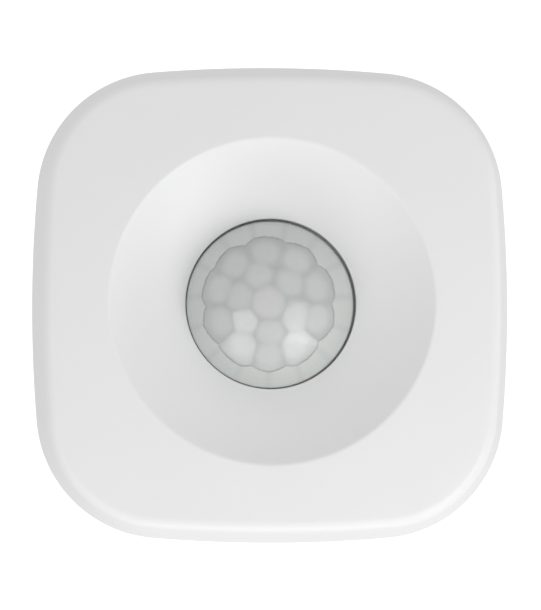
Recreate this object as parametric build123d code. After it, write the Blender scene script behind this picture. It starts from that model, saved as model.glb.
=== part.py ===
from build123d import *
import math
import os

# A battery motion sensor for a wall. Sizes are in millimetres. Each piece is drawn as seen from
# the front: x to the right, y up, z out from the wall. place() turns that into the part's own
# frame, where z is up, the front faces -y, and the wall is the plane y = 0.

# Outline of the front cover at its widest: four long arcs joined by tangent corner arcs
half_width = 32.5
corner_radius = 17.3
side_radius = 188.0

# Heights above the wall
rear_edge = 0.6
plate_top = 2.4
door_back = 2.7
door_front = 4.1
recess_floor = 4.4
floor_front = 6.2
bay_roof_back = 15.2
bay_roof_front = 16.4
board_back = 17.0
board_front = 18.2
cover_back = 20.3
rim_height = 28.3

# Front cover
cover_draft = 13.0
cover_wall = 2.0
cover_edge_radius = 1.4
crown_radius = 280.0
crown_reference = 24.0
dish_radius = 22.35
dish_depth = 6.0
rim_roll = 2.5
aperture_radius = 11.6
seat_radius = 15.8
tongue_outer_inset = 2.3
tongue_inner_inset = 3.3
tongue_depth = 1.4

# Lens dome, its flange and the ring that clamps it
lens_radius = 11.35
lens_sphere = 12.2
lens_wall = 0.8
flange_radius = 13.0
flange_back = 19.2
retainer_back = 18.5
retainer_bore = 10.8
stake_circle = 14.6
stake_radius = 0.7
stake_count = 3

# Rear housing
housing_inset = 0.2
housing_wall = 1.8
housing_draft = 3.0
rear_edge_radius = 1.2
screw_offset = 22.5
post_radius = 3.2
post_top = 14.8
head_seat = 12.8
boss_radius = 2.6
board_post_x = 20.0
board_post_y = 15.6
board_post_radius = 2.4

# Housing screws and board screws
screw_radius = 1.25
screw_head_radius = 2.3
screw_head_height = 1.4
screw_length = 9.0
board_screw_radius = 0.95
board_screw_head_radius = 1.9
board_screw_head_height = 1.2
board_screw_length = 6.0
thread_clearance = 0.05

# Wall plate
plate_inset = 3.9
plate_play = 0.4
wall_hole_spacing = 40.0
wall_hole_radius = 2.1
wall_head_radius = 4.0
wall_head_depth = 1.2
pad_thickness = 0.8
pad_half_width = 13.5
pad_bottom = -20.0
pad_top = 14.0

# Hooks on the wall plate, and how far the housing lifts off them
lift_travel = 5.0
hook_x = 11.0
hook_half_width = 3.0
hook_stem = 1.4
hook_lip = 2.4
hook_heights = (20.0, -21.4)
hook_lip_back = 6.4
hook_lip_front = 7.4

# Battery bay and its two cells, one above the other, with their poles turned opposite ways
bay_half_length = 25.2
bay_half_height = 11.5
bay_wall = 1.2
cell_radius = 5.25
cell_length = 44.5
cell_nub_radius = 1.9
cell_nub_length = 1.0
cell_y = 5.6
cell_z = 9.65
contact_thickness = 0.3
contact_dimple = 0.5
dimple_radius = 1.6
contact_bottom = 5.2
contact_top = 14.8
contact_inner_y = 0.7
contact_outer_y = 10.9
tail_width = 2.0
tail_top = 18.8
spring_base_radius = 3.6
spring_tip_radius = 2.4
spring_wall = 0.5

# Battery door, the tabs on its sides and the lips that hold them
door_half_width = 25.9
door_half_height = 13.5
tab_reach = 1.0
tab_length = 4.0
tab_starts = (-11.0, 5.0)
rail_inner = 27.2
rail_outer = 28.4
lip_inner = 26.2
lip_front = 3.2
tab_back = 3.4
grip_count = 4
grip_half_width = 8.0
grip_pitch = 1.8
grip_first = -11.5

# Circuit board
board_inset = 5.0
board_notch_radius = 3.9

# Heat sensor under the lens
can_back = 19.0
can_top = 23.2
can_radius = 4.1
can_wall = 0.4
can_flange_radius = 4.6
lead_circle = 2.54
lead_radius = 0.225

# Pairing button in the bottom wall, with the switch behind it
button_z = 15.0
button_radius = 2.4
button_face = -32.4
button_flange_radius = 3.2
button_inner = -29.2
button_tip = -28.0
switch_half_width = 3.0
switch_front = -27.4
switch_back = -23.9
stem_radius = 0.9

# Tamper plunger, which touches the wall through a slot in the plate
tamper_y = 20.0
tamper_radius = 1.5
tamper_travel = 1.2
tamper_top = 13.2
tamper_flange_radius = 2.3
tamper_flange_height = 0.8
tamper_switch_half = 2.25

# Small parts on the board and in the sensor: outlines are left, right, bottom and top
module_outline = (-25.8, -17.2, -8.0, 8.0)
module_thickness = 0.8
shield_outline = (-25.3, -17.7, -7.5, 2.5)
shield_height = 3.0
shield_corner = 0.4
chip_outline = (-8.0, -1.0, -25.0, -18.0)
chip_standoff = 0.1
chip_height = 1.0
pin_count = 8
pin_first = -7.2
pin_pitch = 0.8
pin_half_width = 0.15
pin_reach = 0.5
pin_thickness = 0.3
crystal_outline = (4.0, 9.0, -23.0, -19.8)
crystal_height = 1.3
crystal_corner = 0.6
capacitor_x = 8.0
capacitor_y = 21.5
capacitor_base_half = 3.3
capacitor_base_height = 0.8
capacitor_radius = 3.15
capacitor_height = 5.4
inductor_outline = (19.0, 24.0, -2.5, 2.5)
inductor_height = 2.0
inductor_corner = 1.0
led_outline = (-0.8, 0.8, -8.0, -7.2)
led_height = 0.6
window_outline = (-2.4, 2.4, -2.0, 2.0)
window_opening = (-2.0, 2.0, -1.6, 1.6)
window_thickness = 0.4
element_outline = (-1.6, 1.6, -1.2, 1.2)
element_height = 1.4
element_slot = (-0.15, 0.15, -1.3, 1.3)
element_slot_depth = 0.3
header_thickness = 1.2

# Details of the screws, slots and grips
housing_cross = (1.5, 0.3)
board_cross = (1.2, 0.25)
board_cross_depth = 0.6
cell_edge_radius = 0.5
door_corner = 1.0
pad_corner = 2.0
grip_breadth = 0.8
grip_depth = 0.4
cap_edge_radius = 0.4
contact_slot_margin = 0.3
tongue_root = 0.7
hollow_margin = 0.6
stem_sink = 1.2
stem_cap_margin = 0.3

clearance = 0.05
gap = 0.1
signs = (-1, 1)
corners = [(sx * screw_offset, sy * screw_offset) for sx in signs for sy in signs]
board_posts = [(-board_post_x, board_post_y), (board_post_x, -board_post_y)]

# Centre and radius of the dish: a sphere through the aperture's edge and the rim
dish_floor = rim_height - dish_depth
dish_centre = (dish_radius**2 - aperture_radius**2 + rim_height**2 - dish_floor**2) / (2 * dish_depth)
dish_sphere = math.hypot(aperture_radius, dish_centre - dish_floor)

# Centre of the crowned front face
crown_centre = rim_height - math.sqrt(crown_radius**2 - crown_reference**2)


def block(x0, x1, y0, y1, z0, z1):
    box = Box(x1 - x0, y1 - y0, z1 - z0)
    return Pos((x0 + x1) / 2, (y0 + y1) / 2, (z0 + z1) / 2) * box


def disc(radius, z0, z1, x=0.0, y=0.0):
    return Pos(x, y, (z0 + z1) / 2) * Cylinder(radius, z1 - z0)


def rod_along_x(radius, x0, x1, y, z):
    return Pos((x0 + x1) / 2, y, z) * Rot(0, 90, 0) * Cylinder(radius, abs(x1 - x0))


def rod_along_y(radius, y0, y1, x, z):
    return Pos(x, (y0 + y1) / 2, z) * Rot(90, 0, 0) * Cylinder(radius, abs(y1 - y0))


def ball(radius, z):
    """A sphere turned so that its poles and its seam stay off the front face."""
    return Pos(0, 0, z) * Rot(90, 90, 0) * Sphere(radius)


def outline(inset):
    """The rounded square, drawn smaller all round by the inset."""
    half = half_width - inset
    side = side_radius - inset
    corner = corner_radius - inset
    side_centre = half - side
    reach = side - corner
    corner_centre = (side_centre + math.sqrt(2 * reach**2 - side_centre**2)) / 2
    turn = math.atan2(corner_centre, corner_centre - side_centre)
    join = (side_centre + side * math.cos(turn), side * math.sin(turn))
    tip = corner_centre + corner * math.sqrt(0.5)
    edges = []
    for quarter in range(4):
        spin = Rot(0, 0, 90 * quarter)
        edges.append(spin * ThreePointArc((join[0], -join[1]), (half, 0), join))
        edges.append(spin * ThreePointArc(join, (tip, tip), (join[1], join[0])))
    return make_face(edges)


def slab(inset, z0, z1):
    return Pos(0, 0, z0) * extrude(outline(inset), amount=z1 - z0)


def drafted_forward(inset, z0, height, draft):
    return Pos(0, 0, z0) * extrude(outline(inset), amount=height, taper=draft)


def drafted_back(inset, z0, height, draft):
    face = outline(inset)
    return Pos(0, 0, z0) * extrude(face, amount=height, dir=(0, 0, -1), taper=draft)


def slot(half_breadth, y0, y1, z0, z1, x=0.0):
    middle = block(x - half_breadth, x + half_breadth, y0, y1, z0, z1)
    return middle + disc(half_breadth, z0, z1, x, y0) + disc(half_breadth, z0, z1, x, y1)


def front_cover():
    crown = ball(crown_radius, crown_centre)
    shell = drafted_forward(0, cover_back, rim_height - cover_back + 2, cover_draft) & crown
    front_face = shell.faces().sort_by(Axis.Z)[-1]
    shell = fillet(front_face.edges(), cover_edge_radius)
    shell -= ball(dish_sphere, dish_centre)
    rims = shell.edges().filter_by(GeomType.CIRCLE)
    rim = [e for e in rims if abs(e.radius - dish_radius) < 0.5 and e.center().Z > dish_floor + 2]
    shell = fillet(rim, rim_roll)
    boss_room = shell + slab(board_inset - 1, head_seat - 1, cover_back + 1)
    hollow = drafted_forward(cover_wall + hollow_margin, cover_back, rim_height - cover_back, cover_draft)
    hollow &= ball(crown_radius - cover_wall, crown_centre)
    hollow -= ball(dish_sphere + cover_wall, dish_centre)
    hollow -= disc(seat_radius, cover_back, rim_height + 2)
    shell -= hollow
    for x, y in corners:
        shell += disc(boss_radius, post_top + 2 * gap, rim_height - 3, x, y) & boss_room
    tongue = slab(tongue_outer_inset, cover_back - tongue_depth, cover_back + tongue_root)
    tongue -= slab(tongue_inner_inset, cover_back - tongue_depth - 1, cover_back + 1)
    shell += tongue
    shell -= disc(aperture_radius, cover_back - 1, rim_height)
    for x, y in corners:
        tip = head_seat + screw_length + 0.5
        shell -= disc(screw_radius + thread_clearance, post_top, tip, x, y)
    for k in range(stake_count):
        angle = math.radians(90 + 360 * k / stake_count)
        x = stake_circle * math.cos(angle)
        y = stake_circle * math.sin(angle)
        shell += disc(stake_radius, board_front + gap, cover_back + 0.3, x, y)
    return shell


def fresnel_lens():
    sphere_z = dish_floor - math.sqrt(lens_sphere**2 - lens_radius**2)
    dome = ball(lens_sphere, sphere_z) & disc(lens_radius, dish_floor, rim_height + 4)
    dome += disc(lens_radius, flange_back, dish_floor)
    dome += disc(flange_radius, flange_back, cover_back - clearance)
    bore = lens_radius - lens_wall
    inner = ball(lens_sphere - lens_wall, sphere_z) & disc(bore, dish_floor, rim_height + 4)
    inner += disc(bore, flange_back - 1, dish_floor)
    return dome - inner


def lens_retainer():
    ring = disc(seat_radius - gap, retainer_back, cover_back - clearance)
    ring -= disc(flange_radius + gap, flange_back - clearance, cover_back + 1)
    ring -= disc(retainer_bore, retainer_back - 1, cover_back)
    for k in range(stake_count):
        angle = math.radians(90 + 360 * k / stake_count)
        x = stake_circle * math.cos(angle)
        y = stake_circle * math.sin(angle)
        ring -= disc(stake_radius + clearance, retainer_back - 1, cover_back + 1, x, y)
    return ring


def tail_span(side):
    """The breadth of the slot that lets a contact's tail through, above (1) or below (-1)."""
    inner = contact_outer_y - tail_width - contact_slot_margin
    return sorted((side * inner, side * (contact_outer_y + contact_slot_margin)))


def rear_housing():
    front = cover_back - clearance
    body = drafted_back(housing_inset, front, front - rear_edge, housing_draft)
    rear_face = body.faces().sort_by(Axis.Z)[0]
    body = fillet(rear_face.edges(), rear_edge_radius)
    cavity_inset = housing_inset + housing_wall
    body -= drafted_back(cavity_inset, cover_back, cover_back - floor_front, housing_draft)
    recess_inset = cavity_inset + (cover_back - rear_edge) * math.tan(math.radians(housing_draft))
    body -= slab(recess_inset, rear_edge - 1, recess_floor)
    bay_outer_x = bay_half_length + bay_wall
    bay_outer_y = bay_half_height + bay_wall
    body += block(-bay_outer_x, bay_outer_x, -bay_outer_y, bay_outer_y, recess_floor, bay_roof_front)
    body -= block(-bay_half_length, bay_half_length, -bay_half_height, bay_half_height,
                  recess_floor - 1, bay_roof_back)
    for x, y in corners:
        body += disc(post_radius, recess_floor, post_top, x, y)
        body -= disc(screw_head_radius + 0.4, recess_floor - 1, head_seat, x, y)
        body -= disc(screw_radius + 0.2, head_seat - 1, post_top + 1, x, y)
    for x, y in board_posts:
        body += disc(board_post_radius, recess_floor, board_back - clearance, x, y)
        tip = board_front - board_screw_length - 0.5
        body -= disc(board_screw_radius + thread_clearance, tip, board_back + 1, x, y)
    for y in hook_heights:
        for side in signs:
            x = side * hook_x
            reach = hook_half_width + 0.3
            body -= block(x - reach, x + reach, y - lift_travel - gap, y + hook_stem + gap,
                          recess_floor - 1, floor_front + 1)
    for side in signs:
        x0, x1 = sorted((side * rail_inner, side * rail_outer))
        body += block(x0, x1, -door_half_height, door_half_height, door_back, recess_floor)
        x0, x1 = sorted((side * lip_inner, side * rail_inner))
        for start in tab_starts:
            body += block(x0, x1, start - gap, start + tab_length + gap, door_back, lip_front)
    stop = door_half_height + 0.3
    body += block(-hook_x, hook_x, stop, stop + 1, door_back + 0.3, recess_floor)
    body -= rod_along_y(button_radius + gap, -half_width - 1, -half_width + 4, 0, button_z)
    body -= disc(tamper_radius + clearance, recess_floor - 1, floor_front + 1, 0, tamper_y)
    for side in signs:
        y0, y1 = tail_span(side)
        body -= block(bay_half_length - contact_thickness - contact_slot_margin, bay_half_length,
                      y0, y1, bay_roof_back - 1, bay_roof_front + 1)
    return body


def housing_screws():
    screws = []
    for x, y in corners:
        head = disc(screw_head_radius, head_seat - screw_head_height, head_seat, x, y)
        for a, b in (housing_cross, housing_cross[::-1]):
            head -= block(x - a, x + a, y - b, y + b, 0, head_seat - screw_head_height / 2)
        shank = disc(screw_radius, head_seat, head_seat + screw_length, x, y)
        screws.append((head + shank).solid())
    return Compound(screws)


def board_screws():
    screws = []
    for x, y in board_posts:
        head_top = board_front + board_screw_head_height
        head = disc(board_screw_head_radius, board_front, head_top, x, y)
        for a, b in (board_cross, board_cross[::-1]):
            head -= block(x - a, x + a, y - b, y + b, head_top - board_cross_depth, head_top + 1)
        shank = disc(board_screw_radius, board_front - board_screw_length, board_front, x, y)
        screws.append((head + shank).solid())
    return Compound(screws)


def wall_plate():
    plate = slab(plate_inset, 0, plate_top)
    plate &= Pos(0, lift_travel + plate_play, 0) * slab(plate_inset, 0, plate_top)
    plate -= block(-pad_half_width, pad_half_width, pad_bottom, pad_top, -1, pad_thickness)
    for side in signs:
        x = side * wall_hole_spacing / 2
        plate -= disc(wall_hole_radius, -1, plate_top + 1, x, 0)
        sink = Cone(wall_hole_radius, wall_head_radius, wall_head_depth)
        plate -= Pos(x, 0, plate_top - wall_head_depth / 2) * sink
    plate -= slot(tamper_radius + 0.7, tamper_y, tamper_y + lift_travel, -1, plate_top + 1)
    for y in hook_heights:
        for side in signs:
            x0 = side * hook_x - hook_half_width
            x1 = side * hook_x + hook_half_width
            plate += block(x0, x1, y, y + hook_stem, plate_top - 0.5, hook_lip_front)
            plate += block(x0, x1, y, y + hook_stem + hook_lip, hook_lip_back, hook_lip_front)
    return plate


def adhesive_pad():
    pad = block(-pad_half_width + gap, pad_half_width - gap, pad_bottom + gap, pad_top - gap,
                0, pad_thickness - clearance)
    return fillet(pad.edges().filter_by(Axis.Z), pad_corner)


def battery_door():
    door = block(-door_half_width, door_half_width, -door_half_height, door_half_height,
                 door_back, door_front)
    door = fillet(door.edges().filter_by(Axis.Z), door_corner)
    for side in signs:
        x0, x1 = sorted((side * (door_half_width - 0.5), side * (door_half_width + tab_reach)))
        for start in tab_starts:
            door += block(x0, x1, start, start + tab_length, tab_back, door_front)
    for k in range(grip_count):
        y = grip_first + grip_pitch * k
        door -= block(-grip_half_width, grip_half_width, y, y + grip_breadth,
                      door_back - 1, door_back + grip_depth)
    return door


def battery(side):
    """One cell. Side 1 is the upper cell, with its nub to the right; -1 is the lower, to the left."""
    tip = bay_half_length - contact_thickness - contact_dimple - clearance
    shoulder = tip - cell_nub_length
    y = side * cell_y
    can = rod_along_x(cell_radius, side * shoulder, side * (tip - cell_length), y, cell_z)
    can = fillet(can.edges(), cell_edge_radius)
    return can + rod_along_x(cell_nub_radius, side * tip, side * (shoulder - 0.5), y, cell_z)


def contact_strip(end, y0, y1):
    """A flat strip against the bay's end wall: end is 1 at the right and -1 at the left."""
    x0, x1 = sorted((end * bay_half_length, end * (bay_half_length - contact_thickness)))
    return block(x0, x1, y0, y1, contact_bottom, contact_top)


def contact_bump(end, y):
    flat = bay_half_length - contact_thickness
    return rod_along_x(dimple_radius, end * flat, end * (flat - contact_dimple), y, cell_z)


def contact_tail(y0, y1):
    x0 = bay_half_length - contact_thickness
    return block(x0, bay_half_length, y0, y1, contact_top - 1, tail_top)


def bridge_contact():
    return contact_strip(-1, -contact_outer_y, contact_outer_y) + contact_bump(-1, -cell_y)


def positive_contact():
    strip = contact_strip(1, contact_inner_y, contact_outer_y) + contact_bump(1, cell_y)
    return strip + contact_tail(contact_outer_y - tail_width, contact_outer_y)


def negative_contact():
    strip = contact_strip(1, -contact_outer_y, -contact_inner_y)
    return strip + contact_tail(-contact_outer_y, -contact_outer_y + tail_width)


def battery_spring(end, y):
    """The space that a conical spring fills, with its wide coil on the contact strip."""
    base = bay_half_length - contact_thickness
    tip = cell_length + contact_dimple + contact_thickness + 2 * clearance - bay_half_length
    length = base - tip
    outer = Cone(spring_base_radius, spring_tip_radius, length)
    inner = Cone(spring_base_radius - spring_wall, spring_tip_radius - spring_wall, length)
    return Pos(end * (base + tip) / 2, y, cell_z) * Rot(0, -90 * end, 0) * (outer - inner)


def main_board():
    board = slab(board_inset, board_back, board_front)
    for x, y in corners:
        board -= disc(board_notch_radius, board_back - 1, board_front + 1, x, y)
    for x, y in board_posts:
        board -= disc(board_screw_radius + gap, board_back - 1, board_front + 1, x, y)
    for side in signs:
        y0, y1 = tail_span(side)
        board -= block(bay_half_length - contact_thickness - contact_slot_margin,
                       bay_half_length + contact_slot_margin, y0, y1, board_back - 1, board_front + 1)
    for x, y in lead_places():
        board -= disc(lead_radius + gap, board_back - 1, board_front + 1, x, y)
    return board


def lead_places():
    angles = [math.radians(a) for a in (135, 225, 315)]
    return [(lead_circle * math.cos(a), lead_circle * math.sin(a)) for a in angles]


def pir_spacer():
    spacer = disc(can_flange_radius - 0.2, board_front, can_back)
    for x, y in lead_places():
        spacer -= disc(lead_radius + gap, board_front - 1, can_back + 1, x, y)
    return spacer


def pir_base():
    base = disc(can_radius - can_wall - clearance, can_back, can_back + header_thickness)
    for x, y in lead_places():
        base -= disc(lead_radius + clearance, can_back - 1, can_back + 2, x, y)
    return base


def pir_can():
    can = disc(can_radius, can_back, can_top)
    can = fillet(can.faces().sort_by(Axis.Z)[-1].edges(), 0.4)
    can += disc(can_flange_radius, can_back, can_back + 0.4)
    can -= disc(can_radius - can_wall, can_back - 1, can_top - can_wall)
    can -= block(*window_opening, can_top - 1, can_top + 1)
    return can


def pir_window():
    top = can_top - can_wall
    return block(*window_outline, top - clearance - window_thickness, top - clearance)


def pir_element():
    base = can_back + header_thickness
    top = base + element_height
    chip = block(*element_outline, base, top)
    return chip - block(*element_slot, top - element_slot_depth, top + 1)


def pir_leads():
    leads = []
    for x, y in lead_places():
        lead = disc(lead_radius, bay_roof_front + gap, can_back + header_thickness, x, y)
        leads.append(lead.solid())
    return Compound(leads)


def wireless_module():
    return block(*module_outline, board_front, board_front + module_thickness)


def module_shield():
    base = board_front + module_thickness
    shield = block(*shield_outline, base, board_front + shield_height)
    return fillet(shield.edges().filter_by(Axis.Z), shield_corner)


def microcontroller():
    chip = block(*chip_outline, board_front + chip_standoff, board_front + chip_height)
    bottom, top = chip_outline[2] - pin_reach, chip_outline[3] + pin_reach
    pins = []
    for k in range(pin_count):
        x = pin_first + pin_pitch * k
        pins.append(block(x - pin_half_width, x + pin_half_width, bottom, top,
                          board_front, board_front + pin_thickness))
    return chip + pins


def crystal():
    can = block(*crystal_outline, board_front, board_front + crystal_height)
    return fillet(can.edges().filter_by(Axis.Z), crystal_corner)


def capacitors():
    cans = []
    for side in signs:
        x, half = side * capacitor_x, capacitor_base_half
        base_top = board_front + capacitor_base_height
        base = block(x - half, x + half, capacitor_y - half, capacitor_y + half, board_front, base_top)
        base = chamfer(base.edges().filter_by(Axis.Z).sort_by(Axis.X)[:2], capacitor_base_height)
        can = disc(capacitor_radius, base_top, board_front + capacitor_height, x, capacitor_y)
        cans.append((base + can).solid())
    return Compound(cans)


def power_inductor():
    coil = block(*inductor_outline, board_front, board_front + inductor_height)
    return fillet(coil.edges().filter_by(Axis.Z), inductor_corner)


def status_led():
    return block(*led_outline, board_front, board_front + led_height)


def pairing_switch():
    half_depth = board_back - clearance - button_z
    body = block(-switch_half_width, switch_half_width, switch_front, switch_back,
                 button_z - half_depth, button_z + half_depth)
    bore_end = switch_front + stem_sink + 0.6
    return body - rod_along_y(stem_radius + clearance, switch_front - 1, bore_end, 0, button_z)


def switch_stem():
    return rod_along_y(stem_radius, button_tip + clearance, switch_front + stem_sink, 0, button_z)


def pairing_button():
    cap = rod_along_y(button_radius, button_face, button_inner, 0, button_z)
    outer = cap.faces().sort_by(Axis.Y)[0]
    cap = fillet(outer.edges(), cap_edge_radius)
    cap += rod_along_y(button_flange_radius, button_inner - 0.8, button_inner, 0, button_z)
    return cap + rod_along_y(stem_radius + stem_cap_margin, button_inner, button_tip, 0, button_z)


def tamper_switch():
    half = tamper_switch_half
    base = tamper_top + 0.8
    body = block(-half, half, tamper_y - half, tamper_y + half, base, board_back - clearance)
    return body + disc(stem_radius, tamper_top + clearance, base, 0, tamper_y)


def tamper_plunger():
    pin = disc(tamper_radius, 0, tamper_top, 0, tamper_y)
    pin = fillet(pin.faces().sort_by(Axis.Z)[0].edges(), cap_edge_radius)
    flange_back_face = floor_front + tamper_travel + gap
    return pin + disc(tamper_flange_radius, flange_back_face, flange_back_face + tamper_flange_height,
                      0, tamper_y)


def place(shape):
    front = Plane(origin=(0, 0, 0), x_dir=(1, 0, 0), z_dir=(0, -1, 0))
    return front.location * shape


pieces = {
    "front_cover": front_cover(),
    "fresnel_lens": fresnel_lens(),
    "lens_retainer": lens_retainer(),
    "rear_housing": rear_housing(),
    "housing_screws": housing_screws(),
    "board_screws": board_screws(),
    "wall_plate": wall_plate(),
    "adhesive_pad": adhesive_pad(),
    "battery_door": battery_door(),
    "battery_upper": battery(1),
    "battery_lower": battery(-1),
    "bridge_contact": bridge_contact(),
    "positive_contact": positive_contact(),
    "negative_contact": negative_contact(),
    "bridge_spring": battery_spring(-1, cell_y),
    "negative_spring": battery_spring(1, -cell_y),
    "main_board": main_board(),
    "pir_spacer": pir_spacer(),
    "pir_base": pir_base(),
    "pir_can": pir_can(),
    "pir_window": pir_window(),
    "pir_element": pir_element(),
    "pir_leads": pir_leads(),
    "wireless_module": wireless_module(),
    "module_shield": module_shield(),
    "microcontroller": microcontroller(),
    "crystal": crystal(),
    "capacitors": capacitors(),
    "power_inductor": power_inductor(),
    "status_led": status_led(),
    "pairing_switch": pairing_switch(),
    "switch_stem": switch_stem(),
    "pairing_button": pairing_button(),
    "tamper_switch": tamper_switch(),
    "tamper_plunger": tamper_plunger(),
}

os.makedirs("parts", exist_ok=True)
for node, shape in pieces.items():
    export_step(place(shape), f"parts/{node}.step")
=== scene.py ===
import math
import random
import bmesh
import bpy
from mathutils import Matrix, Vector


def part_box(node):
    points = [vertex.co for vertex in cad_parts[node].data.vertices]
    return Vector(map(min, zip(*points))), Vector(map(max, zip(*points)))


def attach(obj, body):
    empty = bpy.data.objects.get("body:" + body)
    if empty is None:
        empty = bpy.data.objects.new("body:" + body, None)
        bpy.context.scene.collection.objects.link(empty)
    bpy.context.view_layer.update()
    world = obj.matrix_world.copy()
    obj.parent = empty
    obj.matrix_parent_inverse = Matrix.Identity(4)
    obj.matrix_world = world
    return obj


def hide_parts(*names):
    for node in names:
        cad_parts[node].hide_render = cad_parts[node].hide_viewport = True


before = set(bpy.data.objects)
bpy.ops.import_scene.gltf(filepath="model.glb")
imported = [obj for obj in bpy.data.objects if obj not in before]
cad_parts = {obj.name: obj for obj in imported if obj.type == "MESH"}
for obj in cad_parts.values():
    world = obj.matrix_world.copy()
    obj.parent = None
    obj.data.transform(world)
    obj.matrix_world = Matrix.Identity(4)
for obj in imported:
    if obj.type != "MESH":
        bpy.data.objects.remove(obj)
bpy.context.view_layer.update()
print("frame loaded:", len(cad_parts), "nodes")

mm = 0.001


def out(x, y, z):
    # x right, y up and z out from the wall, in mm, as the sensor is seen from the front
    return Vector((x * mm, -z * mm, y * mm))


def nodeBox(name):
    low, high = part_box(name)
    return Vector(low) / mm, Vector(high) / mm


class Wire:
    # a socket of a material sheet, which sums like a number
    def __init__(self, sheet, socket):
        self.sheet = sheet
        self.socket = socket

    def sum(self, operation, first, second):
        return self.sheet.add("Math", {"operation": operation}, {0: first, 1: second})

    def __add__(self, other):
        return self.sum("ADD", self, other)

    def __radd__(self, other):
        return self.sum("ADD", other, self)

    def __sub__(self, other):
        return self.sum("SUBTRACT", self, other)

    def __rsub__(self, other):
        return self.sum("SUBTRACT", other, self)

    def __mul__(self, other):
        return self.sum("MULTIPLY", self, other)

    def __rmul__(self, other):
        return self.sum("MULTIPLY", other, self)

    def above(self, level):
        return self.sum("GREATER_THAN", self, level)

    def below(self, level):
        return self.sum("LESS_THAN", self, level)


class Finish:
    # one material and the sheet of nodes that feeds its shader
    def __init__(self, name, values):
        self.material = bpy.data.materials.new(name)
        self.material.use_nodes = True
        self.nodes = self.material.node_tree.nodes
        self.links = self.material.node_tree.links
        self.shader = self.nodes["Principled BSDF"]
        for socket, value in values.items():
            self.shader.inputs[socket].default_value = value

    def add(self, kind, settings, sockets, output=0):
        node = self.nodes.new("ShaderNode" + kind)
        for name, value in settings.items():
            if name == "stops":
                ramp = node.color_ramp
                while len(ramp.elements) < len(value):
                    ramp.elements.new(0.5)
                for element, (place, colour) in zip(ramp.elements, value):
                    element.position = place
                    element.color = colour
            else:
                setattr(node, name, value)
        for socket, value in sockets.items():
            if isinstance(value, Wire):
                self.links.new(value.socket, node.inputs[socket])
            else:
                node.inputs[socket].default_value = value
        return Wire(self, node.outputs[output])

    def millimetres(self, stretch=(1, 1, 1)):
        place = self.add("TexCoord", {}, {}, "Object")
        scale = tuple(s / mm for s in stretch)
        return self.add("VectorMath", {"operation": "MULTIPLY"}, {0: place, 1: scale})

    def axis(self, letter):
        return self.add("SeparateXYZ", {}, {0: self.millimetres()}, letter)

    def noise(self, size, detail=3.0, rough=0.5, stretch=(1, 1, 1)):
        sockets = {"Vector": self.millimetres(stretch), "Scale": 1 / size}
        sockets.update({"Detail": detail, "Roughness": rough})
        return self.add("TexNoise", {}, sockets)

    def blend(self, factor, first, second):
        # inputs 6 and 7 and output 2 are the colour ones of a Mix node
        node = self.nodes.new("ShaderNodeMix")
        node.data_type = "RGBA"
        for socket, value in ((0, factor), (6, first), (7, second)):
            if isinstance(value, Wire):
                self.links.new(value.socket, node.inputs[socket])
            elif socket == 0:
                node.inputs[0].default_value = value
            else:
                node.inputs[socket].default_value = (*value[:3], 1)
        return Wire(self, node.outputs[2])

    def vertexValue(self, name):
        return self.add("Attribute", {"attribute_name": name}, {}, "Fac")

    def feed(self, socket, wire):
        self.links.new(wire.socket, self.shader.inputs[socket])

    def relief(self, height, depth, edge=0.0):
        sockets = {"Height": height, "Distance": depth * mm, "Strength": 1.0}
        if edge:
            sockets["Normal"] = self.add("Bevel", {"samples": 4}, {"Radius": edge * mm})
        self.feed("Normal", self.add("Bump", {}, sockets))


def shade(colour, amount):
    return tuple(min(1.0, c * amount) for c in colour)


# slow and fine changes over moulded plastic and plated metal, sizes in mm
moulded = {"cloudSize": 9.0, "dark": 0.985, "light": 1.01, "cloudRough": 0.05, "fineRough": 0.03}
plated = {"cloudSize": 1.6, "dark": 0.88, "light": 1.06, "cloudRough": 0.06, "fineRough": 0.16,
          "grainDepth": 0.004}


def mouldedPlastic(name, colour, roughness, grain=0.12, depth=0.002, edge=0.0):
    finish = Finish(name, {"Roughness": roughness, "IOR": 1.5})
    cloud = finish.noise(moulded["cloudSize"], 4.0)
    fine = finish.noise(grain, 2.0)
    dark, light = shade(colour, moulded["dark"]), shade(colour, moulded["light"])
    finish.feed("Base Color", finish.blend(cloud, dark, light))
    swing = moulded["cloudRough"] * cloud + moulded["fineRough"] * fine
    finish.feed("Roughness", roughness - moulded["fineRough"] + swing)
    finish.relief(fine, depth, edge)
    return finish.material


def platedMetal(name, colour, roughness, grain=0.15, stretch=(1, 1, 1), edge=0.05):
    finish = Finish(name, {"Metallic": 1.0, "Roughness": roughness})
    cloud = finish.noise(plated["cloudSize"], 4.0)
    fine = finish.noise(grain, 3.0, 0.6, stretch)
    dark, light = shade(colour, plated["dark"]), shade(colour, plated["light"])
    finish.feed("Base Color", finish.blend(cloud, dark, light))
    swing = plated["fineRough"] * fine - plated["cloudRough"] * cloud
    finish.feed("Roughness", roughness + swing)
    finish.relief(fine, plated["grainDepth"], edge)
    return finish.material


def dress(names, material):
    for name in names:
        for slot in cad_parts[name].material_slots:
            slot.material = material


def newPiece(name, points, faces, body, material, sharp=35.0):
    mesh = bpy.data.meshes.new(name)
    mesh.from_pydata([tuple(p) for p in points], [], faces)
    mesh.validate()
    mesh.update()
    piece = bpy.data.objects.new(name, mesh)
    bpy.context.scene.collection.objects.link(piece)
    work = bmesh.new()
    work.from_mesh(mesh)
    bmesh.ops.recalc_face_normals(work, faces=work.faces)
    work.to_mesh(mesh)
    work.free()
    for polygon in mesh.polygons:
        polygon.use_smooth = True
    mesh.set_sharp_from_angle(angle=math.radians(sharp))
    mesh.materials.append(material)
    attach(piece, body)
    return piece


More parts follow.
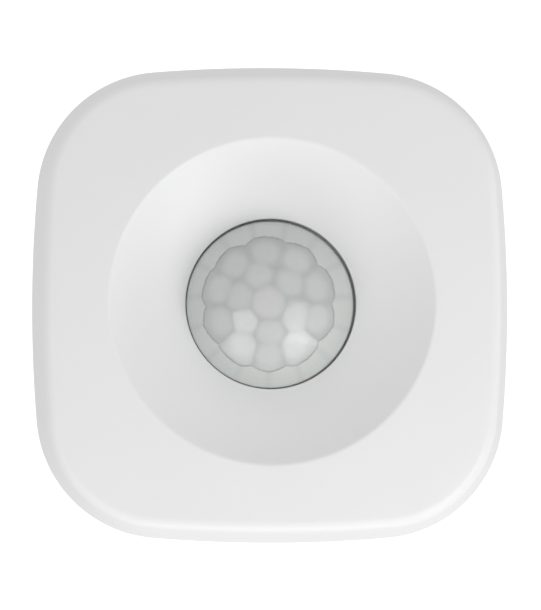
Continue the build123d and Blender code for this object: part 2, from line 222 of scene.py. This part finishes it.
def addRings(points, faces, rings, loop=False):
    # joins rings of equal length with quads, and the last to the first when loop is set
    start = len(points)
    count = len(rings[0])
    for ring in rings:
        points.extend(ring)
    pairs = len(rings) if loop else len(rings) - 1
    for i in range(pairs):
        a = start + i * count
        b = start + ((i + 1) % len(rings)) * count
        for k in range(count):
            n = (k + 1) % count
            faces.append((a + k, a + n, b + n, b + k))


def circle(radius, z, angles, x=0.0, y=0.0):
    return [out(x + radius * math.cos(a), y + radius * math.sin(a), z) for a in angles]


def evenAngles(count):
    return [2 * math.pi * k / count for k in range(count)]


# the front cover, in mm from the wall and from the middle
cover = {
    "halfWidth": 32.49, "cornerRadius": 17.3, "sideRadius": 188.0,
    "back": 20.3, "rimHeight": 28.3, "draft": 13.0, "edgeRadius": 1.8,
    "crownRadius": 280.0, "crownReference": 24.0,
    "dishRadius": 21.8, "dishDepth": 6.0, "rimRoll": 0.7,
    "aperture": 11.6, "apertureRound": 0.18,
    "wall": 2.0, "wallInset": 2.6, "seatRadius": 15.8,
    "tongueOuter": 2.3, "tongueInner": 3.3, "tongueDepth": 1.4, "tongueRoot": 0.7,
    "bossOffset": 22.5, "bossRadius": 2.6, "bossBore": 1.3, "bossBack": 15.0, "bossSunk": 0.8,
    "boreEnd": 2.8, "boreTip": 2.5, "boreEdge": 0.3,
    "stakes": 3, "stakeCircle": 14.6, "stakeRadius": 0.7, "stakeBack": 18.3, "stakeSunk": 0.3,
    "stakeEdge": 0.15, "seatEdge": 0.05, "hub": 0.02,
    # how finely each stretch is cut
    "sideSteps": 56, "cornerSteps": 64, "wallLevels": (0.02, 0.35, 0.7), "edgeSteps": 12,
    "faceSteps": 14, "rimSteps": 16, "dishSteps": 24, "lipSteps": 6, "dishBackSteps": 10,
    "faceBackSteps": 8, "roundSteps": 48,
}


def outlineSamples(c):
    # points on the outline with the direction in from each, once round
    k = c["halfWidth"] - c["sideRadius"]
    reach = c["sideRadius"] - c["cornerRadius"]
    centre = (k + math.sqrt(2 * reach ** 2 - k ** 2)) / 2
    turn = math.atan2(centre, centre - k)
    samples = []
    for quarter in range(4):
        spin = Matrix.Rotation(quarter * math.pi / 2, 2)
        arcs = [((k, 0), c["sideRadius"], -turn, turn, c["sideSteps"]),
                ((centre, centre), c["cornerRadius"], turn, math.pi / 2 - turn, c["cornerSteps"])]
        for (cx, cy), radius, a0, a1, steps in arcs:
            for s in range(steps):
                a = a0 + (a1 - a0) * s / steps
                away = Vector((math.cos(a), math.sin(a)))
                samples.append((spin @ (Vector((cx, cy)) + radius * away), spin @ -away))
    return samples


def inset(samples, distance, z):
    return [out(*(p + distance * n), z) for p, n in samples]


def meetCircles(z1, r1, z2, r2):
    # where two circles about points on the axis cross, as radius and height
    z = (r1 ** 2 - r2 ** 2 - z1 ** 2 + z2 ** 2) / (2 * (z2 - z1))
    return math.sqrt(r1 ** 2 - (z - z1) ** 2), z


def addPosts(points, faces, c, underside):
    # screw bosses under the corners and the pins that hold the lens ring
    turn = evenAngles(c["roundSteps"])
    bore, back, cut = c["bossBore"], c["bossBack"], c["boreEdge"]
    for sx in (-1, 1):
        for sy in (-1, 1):
            x, y = sx * c["bossOffset"], sy * c["bossOffset"]
            top = underside(math.hypot(x, y)) + c["bossSunk"]
            tube = ((c["bossRadius"], back), (c["bossRadius"], top), (c["hub"], top),
                    (c["hub"], top - c["boreTip"]), (bore, top - c["boreEnd"]), (bore, back + cut),
                    (bore + cut, back))
            addRings(points, faces, [circle(r, z, turn, x, y) for r, z in tube], loop=True)
    radius, tip, cut = c["stakeRadius"], c["stakeBack"], c["stakeEdge"]
    root = c["back"] + c["stakeSunk"]
    for k in range(c["stakes"]):
        a = math.radians(90 + 360 / c["stakes"] * k)
        x, y = c["stakeCircle"] * math.cos(a), c["stakeCircle"] * math.sin(a)
        pin = ((c["hub"], tip), (radius - cut, tip), (radius, tip + cut), (radius, root),
               (c["hub"], root))
        addRings(points, faces, [circle(r, z, turn, x, y) for r, z in pin], loop=True)


def makeFrontCover(c, material):
    samples = outlineSamples(c)
    crownZ = c["rimHeight"] - math.sqrt(c["crownRadius"] ** 2 - c["crownReference"] ** 2)
    floorZ = c["rimHeight"] - c["dishDepth"]
    widening = c["dishRadius"] ** 2 - c["aperture"] ** 2
    dishZ = (widening + c["rimHeight"] ** 2 - floorZ ** 2) / (2 * c["dishDepth"])
    dishSphere = math.hypot(c["aperture"], dishZ - floorZ)

    def crown(r, sink=0.0):
        return crownZ + math.sqrt((c["crownRadius"] - sink) ** 2 - r ** 2)

    def dish(r, sink=0.0):
        return dishZ - math.sqrt((dishSphere + sink) ** 2 - r ** 2)

    slope = math.radians(c["draft"])

    def settle(p, n, start, sink=0.0):
        # how far in from the outline the drafted wall meets the crown
        d = start
        for _ in range(6):  # it settles well before this
            d = start + (crown((p + d * n).length, sink) - c["back"]) * math.tan(slope)
        return d

    rings = [inset(samples, 0, c["back"])]
    # drafted wall and the rounded edge, worked out at each sample
    wall, arc = [], [[] for _ in range(c["edgeSteps"] + 1)]
    for p, n in samples:
        d = settle(p, n, 0.0)
        nudge = 0.01
        rise = (crown((p + (d + nudge) * n).length) - crown((p + d * n).length)) / nudge
        lean = math.atan(rise)
        bend = math.pi / 2 - slope - lean
        tangent = c["edgeRadius"] * math.tan(bend / 2)
        top = crown((p + d * n).length)
        startD = d - tangent * math.sin(slope)
        startZ = top - tangent * math.cos(slope)
        wall.append((p, n, startD, startZ))
        centreD = startD + c["edgeRadius"] * math.cos(slope)
        centreZ = startZ - c["edgeRadius"] * math.sin(slope)
        for i in range(c["edgeSteps"] + 1):
            a = math.pi - slope - bend * i / c["edgeSteps"]
            ringD = centreD + c["edgeRadius"] * math.cos(a)
            ringZ = centreZ + c["edgeRadius"] * math.sin(a)
            arc[i].append((p + ringD * n, ringZ))
    for t in c["wallLevels"]:
        rings.append([out(*(p + d * t * n), c["back"] + (z - c["back"]) * t) for p, n, d, z in wall])
    for ring in arc:
        rings.append([out(*q, z) for q, z in ring])
    # crowned face, from the rounded edge in to the round rim
    edge = [q for q, z in arc[-1]]
    angles = [math.atan2(q.y, q.x) for q in edge]
    rollR, rollZ = meetCircles(crownZ, c["crownRadius"] - c["rimRoll"], dishZ, dishSphere + c["rimRoll"])
    crownR = rollR * c["crownRadius"] / (c["crownRadius"] - c["rimRoll"])
    for i in range(1, c["faceSteps"]):
        t = i / c["faceSteps"]
        ring = []
        for q, a in zip(edge, angles):
            r = q.length * (1 - t) + crownR * t
            ring.append(out(r * math.cos(a), r * math.sin(a), crown(r)))
        rings.append(ring)
    # rolled rim
    first = math.atan2(crown(crownR) - rollZ, crownR - rollR)
    dishR = rollR * dishSphere / (dishSphere + c["rimRoll"])
    last = math.atan2(dish(dishR) - rollZ, dishR - rollR)
    for i in range(c["rimSteps"] + 1):
        a = first + (last - first) * i / c["rimSteps"]
        r, z = rollR + c["rimRoll"] * math.cos(a), rollZ + c["rimRoll"] * math.sin(a)
        rings.append(circle(r, z, angles))
    # dish
    lipRound = c["apertureRound"]
    inner = c["aperture"] + lipRound
    for i in range(1, c["dishSteps"] + 1):
        r = dishR + (inner - dishR) * i / c["dishSteps"]
        rings.append(circle(r, dish(r), angles))
    # rounded lip of the hole, then the hole's wall and the seat behind it
    lipZ = dish(inner) - lipRound
    for i in range(1, c["lipSteps"] + 1):
        a = math.pi / 2 + math.pi / 2 * i / c["lipSteps"]
        rings.append(circle(inner + lipRound * math.cos(a), lipZ + lipRound * math.sin(a), angles))
    rings.append(circle(c["aperture"], c["back"] + c["seatEdge"], angles))
    rings.append(circle(c["aperture"] + c["seatEdge"], c["back"], angles))
    rings.append(circle(c["seatRadius"], c["back"], angles))
    # inside of the dish and of the face
    seatTop = dish(c["seatRadius"], c["wall"])
    rings.append(circle(c["seatRadius"], seatTop, angles))
    meetR, _ = meetCircles(crownZ, c["crownRadius"] - c["wall"], dishZ, dishSphere + c["wall"])
    for i in range(1, c["dishBackSteps"] + 1):
        r = c["seatRadius"] + (meetR - c["seatRadius"]) * i / c["dishBackSteps"]
        rings.append(circle(r, dish(r, c["wall"]), angles))
    corner = [p + settle(p, n, c["wallInset"], c["wall"]) * n for p, n in samples]
    for i in range(1, c["faceBackSteps"] + 1):
        ring = []
        for far, a in zip(corner, angles):
            near = Vector((meetR * math.cos(a), meetR * math.sin(a)))
            q = near.lerp(far, i / c["faceBackSteps"])
            ring.append(out(q.x, q.y, crown(q.length, c["wall"])))
        rings.append(ring)
    rootZ = c["back"] + c["tongueRoot"]
    rings.append(inset(samples, c["wallInset"] + c["tongueRoot"] * math.tan(slope), rootZ))
    rings.append(inset(samples, c["tongueInner"], rootZ))
    rings.append(inset(samples, c["tongueInner"], c["back"] - c["tongueDepth"]))
    rings.append(inset(samples, c["tongueOuter"], c["back"] - c["tongueDepth"]))
    rings.append(inset(samples, c["tongueOuter"], c["back"]))
    points, faces = [], []
    addRings(points, faces, rings, loop=True)
    addPosts(points, faces, c, lambda r: crown(r, c["wall"]))
    piece = newPiece("front_cover_shell", points, faces, "housing", material, 32)
    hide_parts("front_cover")


shellWhite = mouldedPlastic("shell_satin_white", (0.866, 0.869, 0.867), 0.36, 0.14, 0.0012)
makeFrontCover(cover, shellWhite)
print("front cover made")

# the dome: a smooth skin over a core with flat lens facets, two rings of them round a middle one,
# and a plain band round those. Lengths in mm and angles in degrees, but bandFade and tip in radians
lens = {
    "radius": 11.35, "sphere": 12.2, "back": 19.2, "seat": 22.29, "flange": 13.0, "flangeTop": 20.25,
    "flangeEdge": 0.1, "wall": 0.15, "lean": (-2.3, 0.8), "play": (-0.13, -0.12),
    # polar angle of each ring, and the direction of each cell in it
    "rings": [(0.0, [0]), (19.6, [44, 110, 168, -145, -86, -24]),
              (35.2, [93, 131, 163, -158.5, -122, -89.5, -58, -18, 19, 57])],
    "outerRing": (60.0, [90 + 24 * k for k in range(15)]),
    # how deep the facets lie, how flat they are and how soft their creases
    "facetSink": 0.32, "heartSink": 0.11, "bandSink": 0.10, "flatness": 0.82, "flatRise": 0.12,
    "bandFlatness": 0.3, "bandFade": 0.08, "crease": 0.012, "uneven": 0.022,
    # painted shade towards each facet's edge and where facets meet, with a wider unshaded middle for the
    # middle facet, how soft the band's edge is, and painted shade along the band's seams
    "gap": 0.30, "facetShadeShare": 0.2, "unshadedMiddle": 6.0, "shadeFade": 6.0, "heartExtra": 1.8, "edge": 0.024,
    "seam": 0.3,
    # fine ridges moulded in the skin over the band
    "ridge": 0.02, "ridgePitch": 4.6, "ridgeFrom": 52.0, "ridgeRise": 4.0,
    "toneSeed": 11, "around": 400, "skinSteps": 86, "coreSteps": 155, "tip": 0.0004,
}


def cellWays(rings):
    ways = []
    for polar, directions in rings:
        for direction in directions:
            a, p = math.radians(direction), math.radians(polar)
            ways.append(Vector((math.sin(p) * math.cos(a), math.sin(p) * math.sin(a), math.cos(p))))
    return ways


def smooth(t):
    # eases from 0 to 1
    t = min(1.0, max(0.0, t))
    return t * t * (3 - 2 * t)


class LensPattern:
    # the facets under the skin: how deep each point lies, and what shows there, with painted shade and
    # the painted sensor tint among it
    def __init__(self, spec, innerR):
        self.spec = spec
        self.ways = cellWays(spec["rings"])
        self.bandWays = cellWays([spec["outerRing"]])
        chance = random.Random(spec["toneSeed"])
        self.tones = [chance.uniform(-1, 1) for _ in self.ways]
        self.bandTones = [chance.uniform(-0.5, 0.5) for _ in self.bandWays]
        self.facetR = innerR - spec["facetSink"]
        self.depths = [self.facetR + chance.uniform(-1, 1) * spec["uneven"] for _ in self.ways]
        self.depths[0] -= spec["heartSink"]
        self.bandR = innerR - spec["bandSink"]
        leanX, leanY = (math.radians(a) for a in spec["lean"])
        self.unlean = (Matrix.Rotation(leanX, 3, "Y") @ Matrix.Rotation(leanY, 3, "X")).inverted()

    def nearest(self, seen, ways, depths, count):
        # how far out along this direction each facet's plane lies, nearest first
        steepest = 0.2
        planes = enumerate(zip(ways, depths))
        reach = [(depth / max(steepest, seen.dot(way)), i) for i, (way, depth) in planes]
        return sorted(reach)[:count]

    def read(self, way, fade):
        spec = self.spec
        seen = self.unlean @ way
        found = self.nearest(seen, self.ways, self.depths, 4)
        flat = spec["flatness"]
        rise = (1 - flat) * spec["flatRise"]
        facets = [self.facetR + flat * (r - self.facetR) + rise for r, i in found]
        bands = self.nearest(seen, self.bandWays, [self.bandR] * len(self.bandWays), 2)
        band = self.bandR + spec["bandFlatness"] * (bands[0][0] - self.bandR) * fade
        lowest = min(facets + [band])
        total = sum(math.exp((lowest - r) / spec["crease"]) for r in facets + [band])
        cell = found[0][1]
        inner = band - facets[0]
        inBand = smooth(0.5 - inner / spec["edge"])
        # painted shade: each facet darkens towards its edge and where it meets the next, as a lit bump
        # would
        between = smooth(1 - (facets[1] - facets[0]) / spec["gap"])
        fromMiddle = math.degrees(math.acos(min(1.0, seen.dot(self.ways[cell]))))
        unshadedMiddle = spec["unshadedMiddle"] + (spec["heartExtra"] if cell == 0 else 0.0)
        share = spec["facetShadeShare"]
        gap = (1 - share) * smooth((fromMiddle - unshadedMiddle) / spec["shadeFade"]) + share * between
        return {
            "radius": lowest - spec["crease"] * math.log(total),
            "gap": gap * (1 - inBand),
            "heart": 1.0 if cell == 0 and inner > 0 else 0.0,
            "band": inBand,
            # painted shade along the band's seams
            "seam": inBand * smooth(1 - (bands[1][0] - bands[0][0]) / spec["seam"]),
            "tone": self.tones[cell] if inner > 0 else self.bandTones[bands[0][1]],
        }


def makeLens(spec, skin, core):
    angles = evenAngles(spec["around"])
    centreZ = spec["seat"] - math.sqrt(spec["sphere"] ** 2 - spec["radius"] ** 2)
    playX, playY = spec["play"]
    rimAngle = math.asin(spec["radius"] / spec["sphere"])
    innerR = spec["sphere"] - spec["wall"]
    innerRim = math.asin((spec["radius"] - spec["wall"]) / innerR)
    pattern = LensPattern(spec, innerR)
    readings = []

    def readRing(polar, fade):
        row = []
        for a in angles:
            way = Vector((math.sin(polar) * math.cos(a), math.sin(polar) * math.sin(a), math.cos(polar)))
            row.append((way, pattern.read(way, fade)))
        readings.extend(reading for way, reading in row)
        return row

    bore = spec["radius"] - spec["wall"]
    back, top, cut = spec["back"], spec["flangeTop"], spec["flangeEdge"]
    flange = ((spec["flange"] - cut, back), (spec["flange"], back + cut), (spec["flange"], top - cut),
              (spec["flange"] - cut, top))
    rings = [circle(bore, back, angles, playX, playY)]
    rings += [circle(r, z, angles) for r, z in flange]
    rings.append(circle(spec["radius"], top, angles, playX, playY))
    skirt = len(rings) * len(angles)
    for i in range(spec["skinSteps"] + 1):
        p = max(spec["tip"], rimAngle * (1 - i / spec["skinSteps"]))
        readRing(p, 1.0)
        past = math.degrees(p) - spec["ridgeFrom"]
        wave = 0.5 - 0.5 * math.cos(2 * math.pi * past / spec["ridgePitch"])
        r = spec["sphere"] - spec["ridge"] * wave * smooth(past / spec["ridgeRise"])
        rings.append(circle(r * math.sin(p), centreZ + r * math.cos(p), angles, playX, playY))
    firstCore = len(rings) * len(angles)
    for i in range(spec["coreSteps"] + 1):
        p = max(spec["tip"], innerRim * i / spec["coreSteps"])
        ring = []
        for way, reading in readRing(p, smooth((innerRim - p) / spec["bandFade"])):
            r = reading["radius"]
            ring.append(out(playX + r * way.x, playY + r * way.y, centreZ + r * way.z))
        rings.append(ring)
    points, faces = [], []
    addRings(points, faces, rings, loop=True)
    piece = newPiece("lens_dome", points, faces, "housing", skin, 60)
    mesh = piece.data
    mesh.materials.append(core)
    for polygon in mesh.polygons:
        if min(polygon.vertices) >= firstCore or min(polygon.vertices) < skirt:
            polygon.material_index = 1
    # point layers that carry the painted shade between the facets and along the band's seams, and the
    # middle facet's painted sensor tint
    for name, plain in (("gap", 0.0), ("heart", 0.0), ("band", 1.0), ("seam", 0.0), ("tone", 0.0)):
        layer = mesh.attributes.new(name, "FLOAT", "POINT")
        layer.data.foreach_set("value", [plain] * skirt + [reading[name] for reading in readings])
    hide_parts("fresnel_lens")


# linear colours of the dome, each pair for the dark and light patches of its faint cloud
lensColours = {
    "clear": ((0.72, 0.74, 0.73), (0.78, 0.79, 0.78)),
    # the band's seam colour is painted shade in the creases where its segments meet
    "band": ((0.60, 0.63, 0.61), (0.65, 0.67, 0.655)), "bandSeamShade": (0.5, 0.52, 0.51),
    # the middle facet's pale pink is the sensor can behind it seen through the dome, painted in
    "facet": ((0.60, 0.635, 0.62), (0.68, 0.70, 0.705)), "heart": (0.74, 0.69, 0.705),
    # painted shade between the facets and towards their edges
    "gap": (0.40, 0.445, 0.43),
    "seamShadeShare": 0.35, "heartShare": 0.6, "facetShadeShare": 0.95, "skinAlpha": 0.34, "bandAlpha": 0.96,
}


def lensSkin(name, colours):
    finish = Finish(name, {"IOR": 1.5})
    band, seam, tone = (finish.vertexValue(v) for v in ("band", "seam", "tone"))
    cloud = finish.noise(3.0, 3.0)
    clear = finish.blend(cloud, *colours["clear"])
    milky = finish.blend(0.5 * cloud + 0.25 + 0.5 * tone, *colours["band"])
    # painted shade along the band's seams
    milky = finish.blend(colours["seamShadeShare"] * seam, milky, colours["bandSeamShade"])
    finish.feed("Base Color", finish.blend(band, clear, milky))
    finish.feed("Roughness", 0.2 + 0.08 * cloud)
    finish.feed("Alpha", colours["skinAlpha"] + (colours["bandAlpha"] - colours["skinAlpha"]) * band)
    finish.relief(band, 0.03)
    return finish.material


def lensCore(name, colours):
    # its strong coat is what lets single facets flash in a lamp
    finish = Finish(name, {"IOR": 1.5, "Coat Weight": 1.0, "Coat IOR": 2.0, "Coat Roughness": 0.07})
    gap, heart, tone = (finish.vertexValue(v) for v in ("gap", "heart", "tone"))
    cloud = finish.noise(1.8, 3.0)
    body = finish.blend(0.5 + 0.4 * tone + 0.4 * (cloud - 0.5), *colours["facet"])
    # the middle facet takes the painted pink of the sensor can seen through it
    body = finish.blend(colours["heartShare"] * heart, body, colours["heart"])
    # painted shade between the facets and towards their edges
    finish.feed("Base Color", finish.blend(colours["facetShadeShare"] * gap, body, colours["gap"]))
    finish.feed("Roughness", 0.36 + 0.12 * cloud)
    return finish.material


skin = lensSkin("lens_clear_skin", lensColours)
makeLens(lens, skin, lensCore("lens_milky_polyethylene", lensColours))
print("lens made")

# the two battery springs, wound from wire inside the cones that hold their place
springs = {"baseRadius": 3.3, "tipRadius": 2.2, "wire": 0.28, "turns": 4.5, "flatEnd": 0.12,
           "steps": 220, "sides": 12}


def makeSpring(spec, node, baseAtRight, material):
    low, high = nodeBox(node)
    y, z = (low.z + high.z) / 2, -(low.y + high.y) / 2
    base, tip = (high.x, low.x) if baseAtRight else (low.x, high.x)
    step = 1 if tip > base else -1
    base, tip = base + step * spec["wire"], tip - step * spec["wire"]
    count, sides = spec["steps"], spec["sides"]
    path = []
    for i in range(count + 1):
        t = i / count
        a = 2 * math.pi * spec["turns"] * t
        r = spec["baseRadius"] + (spec["tipRadius"] - spec["baseRadius"]) * t
        climb = min(1.0, max(0.0, (t - spec["flatEnd"]) / (1 - 2 * spec["flatEnd"])))
        path.append(out(base + (tip - base) * climb, y + r * math.cos(a), z + r * math.sin(a)))
    rings = []
    for i, p in enumerate(path):
        along = (path[min(i + 1, count)] - path[max(i - 1, 0)]).normalized()
        side = along.cross(Vector((1, 0, 0))).normalized()
        lift = side.cross(along)
        ring = []
        for a in evenAngles(sides):
            ring.append(p + spec["wire"] * mm * (math.cos(a) * side + math.sin(a) * lift))
        rings.append(ring)
    points, faces = [], []
    addRings(points, faces, rings)
    faces.append(tuple(range(sides)))
    faces.append(tuple(range(count * sides, (count + 1) * sides)))
    piece = newPiece(node + "_wire", points, faces, "housing", material, 40)
    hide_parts(node)


springWire = platedMetal("spring_nickel_wire", (0.74, 0.74, 0.75), 0.22)
makeSpring(springs, "bridge_spring", False, springWire)
makeSpring(springs, "negative_spring", True, springWire)
print("springs made")

# name of each plastic: its pieces, colour, roughness, grain, depth of grain and edge radius, in mm
plastics = {
    "housing_satin_white": (["rear_housing"], (0.85, 0.858, 0.858), 0.38, 0.14, 0.0015, 0.08),
    "button_satin_white": (["pairing_button"], (0.80, 0.81, 0.81), 0.32, 0.12, 0.001, 0.06),
    "plate_textured_white": (["wall_plate", "battery_door"], (0.83, 0.836, 0.832), 0.5, 0.3, 0.012, 0.1),
    "acetal_white": (["tamper_plunger", "pir_spacer", "switch_stem"], (0.8, 0.8, 0.78), 0.42, 0.2,
                     0.002, 0.05),
    "nylon_dark": (["lens_retainer", "pairing_switch", "tamper_switch"], (0.045, 0.045, 0.048), 0.48,
                   0.18, 0.005, 0.05),
    "package_epoxy": (["microcontroller"], (0.03, 0.03, 0.032), 0.55, 0.08, 0.004, 0.03),
    "ferrite_grey": (["power_inductor"], (0.07, 0.07, 0.075), 0.6, 0.2, 0.012, 0.05),
    "ceramic_cream": (["pir_element"], (0.8, 0.78, 0.72), 0.45, 0.1, 0.003, 0.03),
    "led_epoxy_clear": (["status_led"], (0.86, 0.84, 0.7), 0.15, 0.1, 0.001, 0.03),
}
for name, (pieces, *look) in plastics.items():
    dress(pieces, mouldedPlastic(name, *look))

# name of each metal: its pieces, colour, roughness and grain in mm, and the grain's stretch if any
metals = {
    "shield_tinned": (["module_shield"], (0.78, 0.78, 0.79), 0.3, 0.2),
    "crystal_nickel": (["crystal"], (0.74, 0.74, 0.74), 0.25, 0.1),
    "capacitor_aluminium": (["capacitors"], (0.76, 0.76, 0.77), 0.32, 0.1),
    "can_gold_flash": (["pir_can"], (0.80, 0.76, 0.66), 0.24, 0.1),
    "header_gold_flash": (["pir_base"], (0.78, 0.68, 0.42), 0.3, 0.1),
    "lead_gold_flash": (["pir_leads"], (0.82, 0.68, 0.36), 0.25, 0.05),
    "window_coated_silicon": (["pir_window"], (0.16, 0.13, 0.2), 0.12, 0.3),
    "screw_zinc": (["housing_screws", "board_screws"], (0.66, 0.67, 0.69), 0.3, 0.08),
    "contact_nickel": (["bridge_contact", "positive_contact", "negative_contact"],
                       (0.75, 0.75, 0.74), 0.24, 0.3, (1, 4, 1)),
}
for name, (pieces, *look) in metals.items():
    dress(pieces, platedMetal(name, *look))


def solderMask(name, colour, copper, grid, trackWidth=0.09):
    # copper tracks show through as the borders of a grid of cells
    finish = Finish(name, {"Roughness": 0.3, "Coat Weight": 0.4, "Coat Roughness": 0.12})
    cell = finish.add("TexVoronoi", {"distance": "MANHATTAN", "feature": "DISTANCE_TO_EDGE"},
                      {"Vector": finish.millimetres(), "Scale": 1 / grid})
    track = cell.below(trackWidth)
    cloud = finish.noise(3.0, 3.0)
    mask = finish.blend(cloud, shade(colour, 0.85), shade(colour, 1.15))
    finish.feed("Base Color", finish.blend(track, mask, copper))
    finish.feed("Roughness", 0.28 + 0.1 * cloud)
    finish.relief(track, 0.03, 0.05)
    return finish.material


dress(["main_board"], solderMask("board_green_mask", (0.02, 0.14, 0.06), (0.03, 0.24, 0.1), 2.6))
dress(["wireless_module"], solderMask("module_blue_mask", (0.015, 0.04, 0.13), (0.03, 0.09, 0.22), 1.6))


def foamTape(name):
    finish = Finish(name, {"Roughness": 0.85})
    pores = finish.add("TexVoronoi", {}, {"Vector": finish.millimetres(), "Scale": 3.0}, "Distance")
    cloud = finish.noise(4.0, 3.0)
    finish.feed("Base Color", finish.blend(cloud, (0.72, 0.72, 0.71), (0.82, 0.82, 0.81)))
    finish.relief(pores, 0.05, 0.1)
    return finish.material


def cellJacket(name, jacketHalf=20.6):
    # a printed sleeve that leaves the metal ends bare
    finish = Finish(name, {"Roughness": 0.3, "Coat Weight": 0.5, "Coat Roughness": 0.1})
    along = finish.axis("X")
    ends = along.above(jacketHalf) + along.below(-jacketHalf)
    cloud = finish.noise(5.0, 3.0)
    jacket = finish.blend(cloud, (0.05, 0.16, 0.11), (0.07, 0.2, 0.14))
    finish.feed("Base Color", finish.blend(ends, jacket, (0.72, 0.72, 0.73)))
    finish.feed("Metallic", 0.2 + 0.75 * ends)
    finish.feed("Roughness", 0.28 + 0.08 * cloud)
    return finish.material


dress(["adhesive_pad"], foamTape("foam_tape"))
dress(["battery_upper", "battery_lower"], cellJacket("cell_jacket_green"))
print("finishes set")

# a pale floor that curves up into a wall well behind the sensor
stage = {"wallBehind": 0.9, "floorBelow": 0.6, "half": 2.2, "bend": 0.4, "bendSteps": 12,
         "grey": 0.9, "glow": 0.6}


def makeStage(spec):
    wall, floor, half = spec["wallBehind"], -spec["floorBelow"], spec["half"]
    bendRadius = spec["bend"]
    profile = [(-half, floor)]
    for i in range(spec["bendSteps"] + 1):
        a = math.pi / 2 * i / spec["bendSteps"]
        behind = wall - bendRadius + bendRadius * math.sin(a)
        profile.append((behind, floor + bendRadius * (1 - math.cos(a))))
    profile.append((wall, half))
    points = [Vector((x, y, z)) for x in (-half, half) for y, z in profile]
    count = len(profile)
    faces = [(i, i + 1, count + i + 1, count + i) for i in range(count - 1)]
    mesh = bpy.data.meshes.new("backdrop")
    mesh.from_pydata([tuple(p) for p in points], [], faces)
    for polygon in mesh.polygons:
        polygon.use_smooth = True
    backdrop = bpy.data.objects.new("backdrop", mesh)
    bpy.context.scene.collection.objects.link(backdrop)
    finish = Finish("backdrop_paper", {"Roughness": 0.9, "Base Color": (*[spec["grey"]] * 3, 1),
                                       "Emission Color": (1, 1, 1, 1),
                                       "Emission Strength": spec["glow"]})
    mesh.materials.append(finish.material)
    # it is only looked at, so that it neither lights nor shades the sensor
    backdrop.visible_diffuse = False
    backdrop.visible_glossy = False
    backdrop.visible_transmission = False
    backdrop.visible_shadow = False


makeStage(stage)


# softboxes: place in m, power in W, width and height in m, and the way that the height lies
lamps = {
    "key_low_right": ((0.22, -0.27, -0.22), 0.29, 0.25, 0.25, (0, 0, 1)),
    "fill_low": ((0, -0.06, -0.36), 0.17, 0.25, 0.14, (0, 0, 1)),
    "fill_right": ((0.36, -0.05, 0), 0.075, 0.14, 0.25, (0, 0, 1)),
    "edge_top": ((0, -0.17, 0.30), 0.03, 0.3, 0.06, (0, -1, 0)),
    "strip_left": ((-0.207, -0.202, -0.214), 0.115, 0.076, 0.31, (-0.017, -0.174, 0.164)),
    "strip_right": ((0.203, -0.218, -0.193), 0.105, 0.076, 0.33, (0.027, -0.174, 0.206)),
}
lampAim = Vector((0, -0.025, 0))


def makeLamp(name, place, power, width, height, along):
    data = bpy.data.lights.new(name, "AREA")
    data.shape = "RECTANGLE"
    data.size, data.size_y = width, height
    data.energy = power
    away = (Vector(place) - lampAim).normalized()
    side = Vector(along).cross(away).normalized()
    turn = Matrix((side, away.cross(side), away)).transposed()
    lamp = bpy.data.objects.new(name, data)
    lamp.matrix_world = Matrix.Translation(Vector(place)) @ turn.to_4x4()
    bpy.context.scene.collection.objects.link(lamp)


for name, lamp in lamps.items():
    makeLamp(name, *lamp)

# an even white room: the light it gives, and how bright the camera sees it
room = {"light": 0.683, "seen": 1.0}


def makeRoom(spec):
    world = bpy.data.worlds.new("studio_white")
    world.use_nodes = True
    nodes, links = world.node_tree.nodes, world.node_tree.links
    background = nodes["Background"]
    background.inputs["Color"].default_value = (1, 1, 1, 1)
    rays = nodes.new("ShaderNodeLightPath")
    strength = nodes.new("ShaderNodeMapRange")
    strength.inputs["To Min"].default_value = spec["light"]
    strength.inputs["To Max"].default_value = spec["seen"]
    links.new(rays.outputs["Is Camera Ray"], strength.inputs["Value"])
    links.new(strength.outputs["Result"], background.inputs["Strength"])
    bpy.context.scene.world = world
    bpy.context.scene.view_settings.view_transform = "Standard"


makeRoom(room)
print("stage and lamps set")

# angles in degrees, lengths in m; frameHeight is how tall a stretch fills the picture at the target
camera = {"azimuth": -2.35, "elevation": -3.2, "distance": 0.48, "target": (0.0, -0.021, -0.0001),
          "frameHeight": 0.0832, "sensor": 36.0}


def makeCamera(spec):
    a, e = math.radians(spec["azimuth"]), math.radians(spec["elevation"])
    back = Vector((math.sin(a) * math.cos(e), -math.cos(a) * math.cos(e), math.sin(e)))
    data = bpy.data.cameras.new("camera")
    data.sensor_width = spec["sensor"]
    data.lens = spec["sensor"] * spec["distance"] / spec["frameHeight"]
    data.clip_start = 0.01
    body = bpy.data.objects.new("camera", data)
    body.location = Vector(spec["target"]) + spec["distance"] * back
    body.rotation_mode = "QUATERNION"
    body.rotation_quaternion = (-back).to_track_quat("-Z", "Y")
    bpy.context.scene.collection.objects.link(body)
    bpy.context.scene.camera = body


makeCamera(camera)
